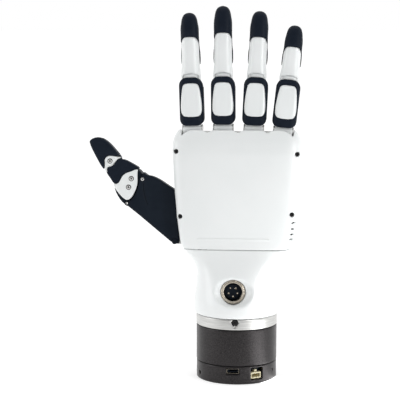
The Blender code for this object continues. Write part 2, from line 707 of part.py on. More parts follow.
def make_metacarpal():
    """The black hollow wedge that the thumb's link turns on, with its flexing actuator inside."""
    y, half = THUMB_Y, THUMB_HALF
    (rx, rz), pivot = ROOT_PIVOT, MIDDLE_PIVOT
    wedge = plate("thumb_metacarpal", WEDGE, y - half, y + half, "black_plastic")
    back_room = plate("back_cheek_room", CHEEK_ROOM, y - half - 3, y - 5.2)
    front_room = plate("front_cheek_room", CHEEK_ROOM, y + 5.2, y + half + 3)
    core_room = plate("core_room", sector(pivot, TONGUE_REACH, 30, 28, 206), y - half - 3, y + half + 3)
    root_slot = box("root_slot", (-52, y - 3.4, 88), (-30, y + 3.4, 109))
    motor_room = box("motor_room", (-67, y - 4.6, 114), (-52, y + 4.6, 133.5))
    mouth = box("motor_mouth", (-66, y + 2, 115), (-53, y + half + 2, 132.5))
    root_bore = rod("metacarpal_bore", BORE_RADIUS, (rx, y - 9, rz), (rx, y + 9, rz), sides=12)
    px, pz = pivot
    pivot_bore = rod("link_bore", BORE_RADIUS, (px, y - 9, pz), (px, y + 9, pz), sides=12)
    cut(wedge, back_room, front_room, core_room, root_slot, motor_room, mouth, root_bore, pivot_bore)
    box("thumb_actuator", (-66.6, y - 4.2, 114.4), (-52.4, y + 4.2, 133.1), "black_plastic")
    rod("thumb_root_pin", PIN_RADIUS, (rx, y - 7.4, rz), (rx, y + 7.4, rz), "steel", sides=12)


def make_thumb_link():
    """The white link whose cheeks straddle the metacarpal, its rubber pad, and its two pins."""
    y, half, pivot = THUMB_Y, THUMB_HALF, MIDDLE_PIVOT
    tx, tz = TIP_PIVOT
    link = plate("thumb_link", CHEEK, y - half, y + half, "white_shell")
    core = plate("link_core", CORE, y - 4.9, y + 4.9)
    ears = plate("link_ears", EAR, y - 4.6, y + 4.6)
    px, pz = pivot
    tongue_room = rod("tongue_room", TONGUE_REACH + 0.5, (px, y - 5.5, pz), (px, y + 5.5, pz), sides=36)
    body_room = plate("body_room", sector(pivot, 4, 30, 205, 388), y - 5.5, y + 5.5)
    tip_room = plate("tip_room", [(tx, tz)] + arc((tx, tz), 8, 60, 190, 8), y - 2.6, y + 2.6)
    tip_hub_room = rod("tip_hub_room", 3.5, (tx, y - 2.6, tz), (tx, y + 2.6, tz), sides=24)
    pivot_bore = rod("cheek_bore", BORE_RADIUS, (px, y - 9, pz), (px, y + 9, pz), sides=12)
    tip_bore = rod("ear_bore", 1.3, (tx, y - 9, tz), (tx, y + 9, tz), sides=12)
    join(link, core, ears)
    cut(link, tongue_room, body_room, tip_hub_room, tip_room, pivot_bore, tip_bore)
    pad = plate("thumb_middle_pad", MIDDLE_PAD, y - 7.0, y + 7.0, "black_rubber")
    core_slot = plate("core_slot", grown(CORE, 0.35), y - 5.2, y + 5.2)
    low, high = (px, y - 5.6, pz), (px, y + 5.6, pz)
    pad_tongue_room = rod("pad_tongue_room", TONGUE_REACH + 0.5, low, high, sides=36)
    ear_room = plate("pad_ear_room", grown(EAR, 0.4), y - 5.3, y + 5.3)
    cut(pad, core_slot, pad_tongue_room, ear_room)
    rod("thumb_middle_pin", PIN_RADIUS, (px, y - 7.6, pz), (px, y + 7.6, pz), "steel", sides=12)
    rod("thumb_tip_pin", 1.0, (tx, y - 4.8, tz), (tx, y + 4.8, tz), "steel", sides=12)


def make_thumb_tip():
    """The rubber tip, whose tongue turns between the link's ears."""
    y = THUMB_Y
    tx, tz = TIP_PIVOT
    tip = plate("thumb_tip", TIP, y - 6.9, y + 6.9, "black_rubber")
    side_room = rod("tip_ear_room", 3.9, (tx, y - 8, tz), (tx, y + 8, tz), sides=28)
    hub = rod("tip_hub", 3.0, (tx, y - 2.2, tz), (tx, y + 2.2, tz), sides=20)
    neck_outline = ((tx - 3, tz), (tx + 1.5, tz + 1.5), (tx - 1, tz + 8), (tx - 6, tz + 6))
    neck = plate("tip_neck", neck_outline, y - 2.2, y + 2.2)
    bore = rod("tip_bore", 1.3, (tx, y - 9, tz), (tx, y + 9, tz), sides=12)
    cut(tip, side_room)
    join(tip, hub, neck)
    cut(tip, bore)


def main():
    make_coupling()
    make_wrist_shell()
    frames = {name: finger_frame(name) for name in FINGERS}
    make_covers(frames)
    make_palm_frame(frames)
    for name, frame in frames.items():
        make_drive(name, frame)
        make_proximal(name, frame)
        make_distal(name, frame)
    make_thumb_base()
    make_metacarpal()
    make_thumb_link()
    make_thumb_tip()


main()
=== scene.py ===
"""The finished look of the prosthetic hand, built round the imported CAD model.

Each visible piece is a field: a function of x, y and z in millimetres that is negative inside the piece. Fields
are joined, cut and rounded with each other, and surface() turns the result into a mesh. Pieces of a finger are
made in the finger's own frame: the knuckle's axis is X, -Y is the back of the finger, and Z runs to its tip.
"""

import json
import math

import bpy
import numpy as np
from mathutils import Matrix, Vector


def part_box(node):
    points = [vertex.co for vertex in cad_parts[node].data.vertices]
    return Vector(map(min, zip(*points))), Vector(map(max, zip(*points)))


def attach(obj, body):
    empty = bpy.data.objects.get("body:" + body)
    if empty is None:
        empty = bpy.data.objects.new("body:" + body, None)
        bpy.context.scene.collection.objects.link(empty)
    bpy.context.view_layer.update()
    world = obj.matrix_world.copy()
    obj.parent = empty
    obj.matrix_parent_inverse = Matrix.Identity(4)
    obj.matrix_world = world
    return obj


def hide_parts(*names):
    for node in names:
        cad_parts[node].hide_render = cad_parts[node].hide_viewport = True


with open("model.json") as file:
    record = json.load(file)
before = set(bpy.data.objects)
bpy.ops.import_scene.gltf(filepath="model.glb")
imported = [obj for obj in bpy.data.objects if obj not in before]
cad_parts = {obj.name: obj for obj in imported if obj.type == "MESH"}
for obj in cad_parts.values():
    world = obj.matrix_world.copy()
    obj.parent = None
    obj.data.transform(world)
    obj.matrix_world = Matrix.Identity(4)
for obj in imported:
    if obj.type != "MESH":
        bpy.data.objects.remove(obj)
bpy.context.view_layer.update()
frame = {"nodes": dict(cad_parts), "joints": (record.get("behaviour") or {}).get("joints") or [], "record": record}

MM = 0.001
IDENTITY = Matrix.Identity(4)
JOINTS = {j["name"]: j for j in frame["joints"]}

# ---------------------------------------------------------------- fields


def length(*parts):
    return np.sqrt(sum(part * part for part in parts))


def both(a, b, r=0.0):
    """What a and b share, with an edge of radius r where they meet."""
    return np.minimum(np.maximum(a, b), -r) + length(np.maximum(a + r, 0), np.maximum(b + r, 0))


def either(a, b, r=0.0):
    """a and b together, with a fillet of radius r where they meet."""
    return np.maximum(np.minimum(a, b), r) - length(np.maximum(r - a, 0), np.maximum(r - b, 0))


def without(a, b, r=0.0):
    return both(a, -b, r)


def slab(v, low, high):
    return np.abs(v - (low + high) / 2) - (high - low) / 2


def rectangle(u, v, low, high, r):
    """A rectangle with corners of radius r, which may change from place to place."""
    du = slab(u, low[0], high[0]) + r
    dv = slab(v, low[1], high[1]) + r
    return length(np.maximum(du, 0), np.maximum(dv, 0)) + np.minimum(np.maximum(du, dv), 0) - r


def block(x, y, z, low, high, r=0.0):
    dx, dy, dz = (slab(v, a, b) + r for v, a, b in zip((x, y, z), low, high))
    outside = length(np.maximum(dx, 0), np.maximum(dy, 0), np.maximum(dz, 0))
    return outside + np.minimum(np.maximum(np.maximum(dx, dy), dz), 0) - r


def disc(u, v, w, radius, low, high, r=0.0):
    """A cylinder round the w axis."""
    return both(length(u, v) - radius, slab(w, low, high), r)


def hexagon(u, v, across):
    """The distance to a hexagon's sides."""
    turns = (math.radians(30 + 60 * i) for i in range(3))
    sides = [np.abs(u * math.cos(a) + v * math.sin(a)) for a in turns]
    return np.maximum(np.maximum(sides[0], sides[1]), sides[2]) - across


def polygon(u, v, points):
    """The distance to a closed outline, negative inside it."""
    nearest, inside = np.inf, False
    for (u0, v0), (u1, v1) in zip(points, points[1:] + points[:1]):
        du, dv = u1 - u0, v1 - v0
        along = np.clip(((u - u0) * du + (v - v0) * dv) / (du * du + dv * dv), 0, 1)
        nearest = np.minimum(nearest, (u - u0 - along * du) ** 2 + (v - v0 - along * dv) ** 2)
        if v0 != v1:
            crosses = ((v0 <= v) != (v1 <= v)) & (u < u0 + (v - v0) / dv * du)
            inside = inside ^ crosses
    return np.where(inside, -1, 1) * np.sqrt(nearest)


def softened(points, rounds=2):
    """An outline with its corners cut again and again, which rounds them."""
    for _ in range(rounds):
        pairs = list(zip(points, points[1:] + points[:1]))
        points = tuple(
            (a[0] + (b[0] - a[0]) * t, a[1] + (b[1] - a[1]) * t) for a, b in pairs for t in (0.25, 0.75)
        )
    return points


# ---------------------------------------------------------------- from a field to a mesh


def crossings(value, axis):
    """Where the field changes sign along an axis.

    Gives the grid places, the share of the way to the next one, and whether the low end is inside.
    """
    low = np.take(value, range(value.shape[axis] - 1), axis)
    high = np.take(value, range(1, value.shape[axis]), axis)
    places = np.nonzero((low < 0) != (high < 0))
    a, b = low[places].astype(float), high[places].astype(float)
    return np.stack(places, 1), a / (a - b), a < 0


def net(value):
    """Vertices, in grid steps, and quads of a surface net through a grid of field values."""
    shape = np.array(value.shape)
    stride = np.array((shape[1] * shape[2], shape[2], 1))
    cells, points, quads = [], [], []
    for axis in range(3):
        places, share, low_inside = crossings(value, axis)
        u, v = np.eye(3, dtype=int)[[(axis + 1) % 3, (axis + 2) % 3]]
        around = np.stack([(places - s) @ stride for s in (0 * u, u, u + v, v)], 1)
        where = places.astype(float)
        where[:, axis] += share
        cells.append(around.ravel())
        points.append(np.repeat(where, 4, axis=0))
        quads.append(np.where(low_inside[:, None], around, around[:, ::-1]))
    names, index = np.unique(np.concatenate(cells), return_inverse=True)
    points = np.concatenate(points)
    count = np.bincount(index)
    middle = np.stack([np.bincount(index, points[:, i]) / count for i in range(3)], 1)
    return middle, np.searchsorted(names, np.concatenate(quads))


def settled(points, field, reach):
    """The points moved onto the field's zero surface."""
    h = 0.01
    for _ in range(3):
        x, y, z = points.T
        value = field(x, y, z)
        slope = np.stack(
            [
                (field(x + h, y, z) - field(x - h, y, z)) / (2 * h),
                (field(x, y + h, z) - field(x, y - h, z)) / (2 * h),
                (field(x, y, z + h) - field(x, y, z - h)) / (2 * h),
            ],
            1,
        )
        steep = np.maximum((slope * slope).sum(1), 0.05)
        step = slope * (value / steep)[:, None]
        size = np.linalg.norm(step, axis=1)
        points = points - step * np.minimum(1, reach / np.maximum(size, 1e-9))[:, None]
    return points


def new_object(name, data):
    """An object with this mesh, light or camera, linked into the scene."""
    obj = bpy.data.objects.new(name, data)
    bpy.context.scene.collection.objects.link(obj)
    return obj


def surface(name, field, low, high, cell, keep=1.0, place=IDENTITY):
    """The field's zero surface as an object.

    cell is the grid's step in millimetres, and keep the share of the faces that Decimate leaves.
    """
    axes = [np.arange(a - 2.37 * cell, b + 2.37 * cell, cell) for a, b in zip(low, high)]
    grid = np.meshgrid(*axes, indexing="ij", sparse=True)
    value = np.broadcast_to(field(*grid), [len(a) for a in axes])
    points, quads = net(value)
    points = settled(np.array([a[0] for a in axes]) + points * cell, field, cell * 0.6)
    mesh = bpy.data.meshes.new(name)
    mesh.vertices.add(len(points))
    mesh.vertices.foreach_set("co", (points * MM).astype(np.float32).ravel())
    mesh.loops.add(quads.size)
    mesh.loops.foreach_set("vertex_index", quads.astype(np.int32).ravel())
    mesh.polygons.add(len(quads))
    mesh.polygons.foreach_set("loop_start", np.arange(0, quads.size, 4, dtype=np.int32))
    mesh.update(calc_edges=True)
    mesh.validate()
    mesh.shade_smooth()
    obj = new_object(name, mesh)
    obj.matrix_world = place
    if keep < 1:
        thin = obj.modifiers.new("fewer faces", "DECIMATE")
        thin.ratio = keep
    return obj


def piece(obj, body, finish, stands_for=()):
    """Gives a new object its finish, its CAD body, and the CAD nodes that it stands for."""
    obj.data.materials.append(FINISHES[finish])
    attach(obj, body)
    if stands_for:
        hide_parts(*stands_for)
    return obj


# ---------------------------------------------------------------- materials


RANGE_INPUTS = ("From Min", "From Max", "To Min", "To Max")


class Paint:
    """A material's node tree, with short calls for the nodes that the finishes share."""

    def __init__(self, name):
        self.material = bpy.data.materials.new(name)
        self.material.use_nodes = True
        self.tree = self.material.node_tree
        self.shader = self.tree.nodes["Principled BSDF"]
        self.place = self.tree.nodes.new("ShaderNodeTexCoord").outputs["Object"]

    def link(self, source, target):
        self.tree.links.new(source, target)

    def set(self, **values):
        for name, value in values.items():
            self.shader.inputs[name.replace("_", " ")].default_value = value

    def stretched(self, scale):
        node = self.tree.nodes.new("ShaderNodeMapping")
        node.inputs["Scale"].default_value = scale
        self.link(self.place, node.inputs["Vector"])
        return node.outputs["Vector"]

    def noise(self, size_mm, detail=3.0, stretch=(1, 1, 1)):
        """Noise whose blotches are about size_mm across."""
        node = self.tree.nodes.new("ShaderNodeTexNoise")
        node.inputs["Scale"].default_value = 1.0
        node.inputs["Detail"].default_value = detail
        per_metre = 1000 / size_mm
        self.link(self.stretched([per_metre * s for s in stretch]), node.inputs["Vector"])
        return node.outputs["Fac"]

    def ramp(self, value, low, high, at=(0.3, 0.7)):
        """Colours, or numbers as greys, between two stops."""
        node = self.tree.nodes.new("ShaderNodeValToRGB")
        for stop, place, colour in zip(node.color_ramp.elements, at, (low, high)):
            stop.position = place
            stop.color = (*colour, 1) if isinstance(colour, tuple) else (colour, colour, colour, 1)
        self.link(value, node.inputs["Fac"])
        return node.outputs["Color"]

    def vary(self, name, value, low, high, at=(0.3, 0.7)):
        """Lets an input of the shader wander between two colours or numbers."""
        self.link(self.ramp(value, low, high, at), self.shader.inputs[name])

    def maths(self, operation, *values):
        """The result of a Math node. Each value is another node's output or a number."""
        node = self.tree.nodes.new("ShaderNodeMath")
        node.operation = operation
        for socket, value in zip(node.inputs, values):
            if isinstance(value, float):
                socket.default_value = value
            else:
                self.link(value, socket)
        return node.outputs["Value"]

    def mapped(self, value, start, end):
        """A value carried from the range start to the range end, and held at both ends."""
        node = self.tree.nodes.new("ShaderNodeMapRange")
        for name, number in zip(RANGE_INPUTS, (*start, *end)):
            node.inputs[name].default_value = number
        self.link(value, node.inputs["Value"])
        return node.outputs["Result"]

    def bump(self, value, depth_mm, after=None):
        node = self.tree.nodes.new("ShaderNodeBump")
        node.inputs["Distance"].default_value = depth_mm * MM
        self.link(value, node.inputs["Height"])
        if after is not None:
            self.link(after, node.inputs["Normal"])
        self.link(node.outputs["Normal"], self.shader.inputs["Normal"])
        return node.outputs["Normal"]


def white_shell():
    """Satin white moulded plastic: a cool white with a soft gloss, flow marks and very fine orange peel."""
    p = Paint("white_shell")
    p.set(IOR=1.49, Coat_Weight=0.25, Coat_Roughness=0.16)
    p.vary("Base Color", p.noise(24), (0.80, 0.825, 0.825), (0.825, 0.845, 0.845))
    p.vary("Roughness", p.noise(6, 5), 0.30, 0.38)
    p.bump(p.noise(0.9), 0.006, p.bump(p.noise(12), 0.03))
    return p.material


def black_rubber():
    """Matt moulded rubber with a fine grain and a blue-black cast."""
    p = Paint("black_rubber")
    p.set(IOR=1.5, Specular_IOR_Level=0.13)
    p.vary("Base Color", p.noise(9, 4), (0.0045, 0.0082, 0.0165), (0.0068, 0.0115, 0.021))
    p.vary("Roughness", p.noise(3, 4), 0.50, 0.62)
    p.bump(p.noise(0.45, 2), 0.02, p.bump(p.noise(7), 0.04))
    return p.material


def black_plastic():
    """Spark-eroded black nylon."""
    p = Paint("black_plastic")
    p.set(IOR=1.52, Specular_IOR_Level=0.1)
    p.vary("Base Color", p.noise(11, 4), (0.0055, 0.0095, 0.0165), (0.0085, 0.0132, 0.021))
    p.vary("Roughness", p.noise(2, 4), 0.42, 0.55)
    p.bump(p.noise(0.35, 2), 0.015)
    return p.material


def dark_anodised():
    """Bead-blasted, dark anodised aluminium with a fine speckle."""
    p = Paint("dark_anodised")
    p.set(Metallic=0.7)
    speckle = p.noise(0.5, 4)
    p.vary("Base Color", speckle, (0.007, 0.006, 0.0065), (0.048, 0.044, 0.045))
    p.vary("Roughness", p.noise(4, 4), 0.32, 0.40)
    p.bump(speckle, 0.006)
    return p.material


def brushed(name, dark, light, size, depth, roughness):
    """Metal brushed round the Z axis: the marks are thin in Z and long the other way."""
    p = Paint(name)
    p.set(Metallic=1.0, Anisotropic=0.5)
    marks = p.noise(size, 3, (0.03, 0.03, 1))
    p.vary("Base Color", marks, dark, light)
    p.vary("Roughness", p.noise(5, 3), *roughness)
    p.bump(marks, depth)
    return p.material


def plain_finish(name, dark, light, roughness, metallic=0.0, grain=0.5):
    """Smaller moulded and plated parts: mottled colour, uneven roughness and a fine grain."""
    p = Paint(name)
    p.set(Metallic=metallic)
    p.vary("Base Color", p.noise(5, 4), dark, light)
    p.vary("Roughness", p.noise(2, 4), *roughness)
    p.bump(p.noise(grain, 2), 0.008)
    return p.material


FINISHES = {
    "white_shell": white_shell(),
    "black_rubber": black_rubber(),
    "black_plastic": black_plastic(),
    "dark_anodised": dark_anodised(),
    "brushed_aluminium": brushed(
        "brushed_aluminium", (0.45, 0.45, 0.44), (0.64, 0.64, 0.625), 0.4, 0.01, (0.26, 0.36)
    ),
    "steel": brushed("steel", (0.72, 0.72, 0.71), (0.88, 0.88, 0.87), 0.3, 0.006, (0.22, 0.32)),
    "connector_steel": plain_finish(
        "connector_steel", (0.42, 0.37, 0.30), (0.62, 0.57, 0.49), (0.18, 0.30), metallic=1.0
    ),
    "cream_nylon": plain_finish("cream_nylon", (0.60, 0.55, 0.36), (0.68, 0.63, 0.44), (0.42, 0.52)),
    "potting": plain_finish("potting", (0.02, 0.07, 0.05), (0.03, 0.10, 0.07), (0.3, 0.5)),
    "black_screw": plain_finish(
        "black_screw", (0.02, 0.02, 0.02), (0.04, 0.04, 0.042), (0.3, 0.45), metallic=0.8
    ),
}

# ---------------------------------------------------------------- the skin of the wrist and the palm

# Height, half width, half depth and squareness of the section, as in the CAD
SKIN = np.array(
    (
        (45.5, 29.2, 29.2, 2.0),
        (48.0, 30.0, 30.0, 2.0),
        (56.0, 30.2, 29.6, 2.0),
        (66.0, 28.8, 27.0, 2.1),
        (74.0, 28.2, 23.8, 2.3),
        (80.0, 28.9, 20.6, 2.6),
        (85.0, 31.6, 17.8, 3.0),
        (89.0, 35.4, 16.2, 3.6),
        (92.6, 38.2, 15.4, 4.2),
        (98.0, 39.9, 15.2, 4.4),
        (114.0, 42.0, 15.2, 4.4),
        (135.0, 43.7, 15.2, 4.4),
        (160.0, 45.2, 14.6, 4.2),
        (167.0, 45.0, 13.6, 4.0),
        (171.0, 43.9, 12.6, 3.8),
        (174.0, 42.2, 11.7, 3.6),
        (176.0, 40.0, 11.0, 3.4),
    )
)
SKIN_Z = np.arange(30.0, 190.0, 0.25)


def smoothed_skin():
    """The table's columns on SKIN_Z, with its corners rounded off."""
    spread = np.arange(-24, 25)
    weights = np.exp(-((spread * 0.25) ** 2) / (2 * 1.6**2))
    weights /= weights.sum()
    padded = np.arange(24.0, 196.0, 0.25)
    return [
        np.convolve(np.interp(padded, SKIN[:, 0], column), weights, "same")[24:-24] for column in SKIN[:, 1:].T
    ]


SKIN_COLUMNS = smoothed_skin()


def oval(x, y, half_x, half_y, power):
    """About the distance to a superellipse."""
    u, v = np.abs(x) / half_x, np.abs(y) / half_y
    g = np.maximum((u**power + v**power) ** (1 / power), 0.08)
    slope = g ** (1 - power) * length(u ** (power - 1) / half_x, v ** (power - 1) / half_y)
    return (g - 1) / np.maximum(slope, 0.02)


def skin(x, y, z):
    half_x, half_y, power = (np.interp(z, SKIN_Z, column) for column in SKIN_COLUMNS)
    return oval(x, y, half_x, half_y, power)


WALL = 1.9
RING_LOW, RING_HIGH = 38.6, 46.2
SHELL_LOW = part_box("wrist_shell")[0].z / MM
SHELL_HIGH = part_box("wrist_shell")[1].z / MM
COVER_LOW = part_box("back_cover")[0].z / MM
PALM_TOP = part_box("back_cover")[1].z / MM
COVER_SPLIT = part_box("back_cover")[1].y / MM
PLUG = sum(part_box("plug_socket"), Vector()) / 2 / MM


def make_coupling():
    """The dark coupling, its two ports, and the aluminium ring with its lock screw."""
    cap_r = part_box("coupling_cap")[1].x / MM
    cap_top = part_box("coupling_cap")[1].z / MM
    bore = 24.7
    turn = math.radians(33)
    c, s = math.cos(turn), math.sin(turn)

    def cap(x, y, z):
        body = disc(x, y, z, cap_r, 0, cap_top, 0.7)
        body = without(body, disc(x, y, z, bore, 3, cap_top + 5, 0.5), 0.3)
        body = without(body, block(x, y, z, (-6.2, -32, 7.1), (3.4, -19, 11.3), 0.5), 0.3)
        u, v = x * c + y * s, -x * s + y * c
        body = without(body, block(u, v, z, (-4.7, -32, 2.9), (4.7, -19, 11.3), 0.5), 0.3)
        for angle, height, radius in ((66, 7.6, 0.9), (-63, 4.6, 1.3)):
            a = math.radians(angle)
            across = x * math.cos(a) + y * math.sin(a)
            body = without(body, both(length(across, z - height) - radius, y + x * 0 - 2), 0.2)
        return body

    low, high = (-cap_r, -cap_r, 0), (cap_r, cap_r, cap_top)
    piece(surface("coupling_base", cap, low, high, 0.6, 0.5), "coupling", "dark_anodised", ["coupling_cap"])

    def data_shell(x, y, z):
        body = block(x, y, z, (-5.9, -26.6, 7.4), (3.1, -19, 11.0), 0.5)
        return without(body, block(x, y, z, (-5.5, -40, 7.8), (2.7, -10, 10.6), 0.3))

    low, high = (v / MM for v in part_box("data_port"))
    piece(surface("data_rim", data_shell, low, high, 0.2, 0.5), "coupling", "connector_steel", ["data_port"])

    def data_core(x, y, z):
        body = block(x, y, z, (-5.5, -24.6, 7.8), (2.7, -18, 10.6), 0.3)
        return without(body, block(x, y, z, (-4.3, -40, 8.8), (1.5, -21, 9.6), 0.2), 0.1)

    piece(surface("data_core", data_core, low, high, 0.25, 0.6), "coupling", "black_plastic")

    def power(x, y, z, shape):
        return shape(x * c + y * s, -x * s + y * c, z)

    def tray(u, v, z):
        body = block(u, v, z, (-4.2, -26.8, 3.3), (4.2, -17.4, 7.9), 0.5)
        body = without(body, block(u, v, z, (-3.3, -40, 4.4), (3.3, -20.5, 6.9), 0.3), 0.2)
        hook = block(u, v, z, (-1.1, -26.4, 8.5), (1.1, -23.0, 9.7), 0.3)
        return np.minimum(np.minimum(body, hook), block(u, v, z, (-0.9, -24.6, 7.5), (0.9, -23.0, 9.0), 0.2))

    def lid(u, v, z):
        return block(u, v, z, (-4.2, -23.6, 7.9), (4.2, -17.4, 10.4), 0.4)

    low, high = (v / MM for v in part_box("power_port"))
    obj = surface("power_tray", lambda x, y, z: power(x, y, z, tray), low, high, 0.25, 0.5)
    piece(obj, "coupling", "cream_nylon", ["power_port"])
    obj = surface("power_lid", lambda x, y, z: power(x, y, z, lid), low, high, 0.3, 0.5)
    piece(obj, "coupling", "black_plastic")

    box_low, box_high = (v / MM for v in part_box("coupling_housing"))

    def housing(x, y, z):
        body = disc(x, y, z, box_high.x, box_low.z, box_high.z, 0.4)
        return without(body, length(x, y) - bore, 0.3)

    body = surface("coupling_body", housing, box_low, box_high, 0.6, 0.35)
    piece(body, "coupling", "dark_anodised", ["coupling_housing"])

    box_low, box_high = (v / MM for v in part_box("wrist_ring"))
    screw = sum(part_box("ring_lock_screw"), Vector()) / 2 / MM + Vector((0, 0, 0.5))

    def ring(x, y, z):
        body = both(disc(x, y, z, box_high.x, RING_LOW, RING_HIGH, 0.5), -(length(x, y) - 12), 0.3)
        body = either(body, disc(x, y, z, 24.3, box_low.z, RING_LOW + 1, 0.3))
        seat = disc(x, z - screw.z, y, 2.35, -32, -23.4)
        notch = both(np.abs(x) * 0.8 - (z - screw.z + 3.9) * 0.62, z - screw.z, 0.1)
        notch = both(notch, y + 27.7, 0.2)
        return without(without(body, seat, 0.35), notch, 0.35)

    collar = surface("wrist_collar", ring, box_low, box_high, 0.5, 0.5)
    piece(collar, "hand", "brushed_aluminium", ["wrist_ring"])
    head("ring_screw", "hand", "black_screw", (screw.x, -27.6, screw.z), 2.0, 3.4, ("ring_lock_screw",))


def head(name, body, finish, place, radius, depth, stands_for=(), shade_ring=0.0):
    """A screw whose head faces -Y, with a hexagon cut in it.

    shade_ring is how far a dark ring of painted shade, standing for a shaded groove round the screw, stands out
    round it, and 0 is none.
    """
    where = Matrix.Translation(Vector(place) * MM)

    def field(x, y, z):
        top = 0.06 * (x * x + z * z) / radius
        shape = both(length(x, z) - radius, np.maximum(top - y, y - depth), 0.2)
        drive = both(hexagon(x, z, radius * 0.42), y - (depth + 1 if shade_ring else min(1.2, depth * 0.6)))
        return without(shape, drive, 0.08)

    corner = radius + shade_ring
    if shade_ring:

        # A dark ring round the head: painted shade, standing for a shaded groove round the screw.
        def ring(x, y, z):
            return both(length(x, z) - corner, slab(y, 0.12, depth), 0.1)

        low, high = (-corner, 0.1, -corner), (corner, depth, corner)
        obj = surface(name + "_washer", ring, low, high, 0.16, 1.0, where)
        piece(obj, body, "black_screw")
    obj = surface(name, field, (-radius, 0, -radius), (radius, depth, radius), 0.15, 1.0, where)
    return piece(obj, body, finish, stands_for)


def make_wrist():
    """The white neck with the dish round its plug, and the plug."""

    def dish(x, y, z):
        rim = (length((x - PLUG.x) / 15.2, (z - PLUG.z - 0.9) / 10.1) - 1) * 10.0 + (y + 27) * 0.45
        return both(rim, y + 21.9, 2.5)

    def shell(x, y, z):
        outer = skin(x, y, z)
        wall = without(outer, outer + WALL, 0.3)
        wall = np.maximum(either(wall, both(outer, dish(x, y, z) - 2.0), 0.6), outer)
        wall = both(wall, slab(z, SHELL_LOW, SHELL_HIGH), 0.7)
        wall = without(wall, dish(x, y, z), np.interp(z, (PLUG.z - 3, PLUG.z + 9), (0.5, 1.8)))
        return without(wall, disc(x - PLUG.x, z - PLUG.z, y, 8.7, -40, -8), 0.4)

    low, high = (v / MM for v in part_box("wrist_shell"))
    piece(surface("wrist_cuff", shell, low, high, 0.7, 0.5), "hand", "white_shell", ["wrist_shell"])

    low, high = (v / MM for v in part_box("plug_socket"))

    def socket(x, y, z):
        r = length(x - PLUG.x, z - PLUG.z)
        body = both(r - 8.4, slab(y, low.y, high.y), 0.5)
        body = without(body, r - 6.4, 0.4)
        return without(body, both(slab(r, 7.6, 7.9), y - low.y - 0.4), 0.1)

    piece(surface("plug_ring", socket, low, high, 0.3, 0.6), "hand", "connector_steel", ["plug_socket"])
    low, high = (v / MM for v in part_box("plug_insert"))

    def insert(x, y, z):
        r = length(x - PLUG.x, z - PLUG.z)
        body = both(r - 6.1, slab(y, low.y, high.y), 0.3)
        key = block(x - PLUG.x, y, z, (-1.2, low.y - 2, PLUG.z + 4.6), (1.2, high.y - 1, PLUG.z + 7), 0.3)
        body = without(body, key, 0.15)
        return without(body, both(slab(r, 4.9, 5.3), y - low.y - 0.6), 0.1)

    piece(surface("plug_core", insert, low, high, 0.25, 0.6), "hand", "black_plastic", ["plug_insert"])

    def pins(x, y, z):
        body = np.inf
        for i in range(5):
            a = math.radians(-90 + 72 * i)
            r = length(x - PLUG.x - 3.2 * math.cos(a), z - PLUG.z - 3.2 * math.sin(a))
            body = np.minimum(body, both(r - 0.62, slab(y, low.y - 3.2, low.y + 0.4), 0.3))
        return body

    low = Vector((PLUG.x - 4, low.y - 3.2, PLUG.z - 4))
    high = Vector((PLUG.x + 4, low.y + 3.6, PLUG.z + 4))
    piece(surface("plug_pins", pins, low, high, 0.17), "hand", "connector_steel")


KNUCKLES = {n: JOINTS[n + "_knuckle"] for n in ("index", "middle", "ring", "little")}
DIPS = tuple(
    (a["pos_m"][0] + b["pos_m"][0]) / 2 / MM
    for a, b in zip(list(KNUCKLES.values()), list(KNUCKLES.values())[1:])
)


def finger_place(joint):
    """The finger's frame in the row frame."""
    axis, up = Vector(joint["axis"]), Vector(joint["axis"]).cross(Vector((0, 1, 0)))
    turn = Matrix((-axis, Vector((0, 1, 0)), -up)).transposed().to_4x4()
    return Matrix.Translation(joint["pos_m"]) @ turn


def in_finger(joint, x, z):
    """x and z in a finger's frame."""
    px, pz = joint["pos_m"][0] / MM, joint["pos_m"][2] / MM
    ax, az = -joint["axis"][0], -joint["axis"][2]
    dx, dz = x - px, z - pz
    return dx * ax + dz * az, -dx * az + dz * ax


def top_edge(x):
    """The height of the back cover's top edge, with a dip between each two fingers."""
    return PALM_TOP - sum(1.7 * np.exp(-(((x - dip) / 2.4) ** 2)) for dip in DIPS)


SCREWS = {n: sum(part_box(n), Vector()) / 2 / MM for n in frame["nodes"] if n.startswith("cover_screw_")}


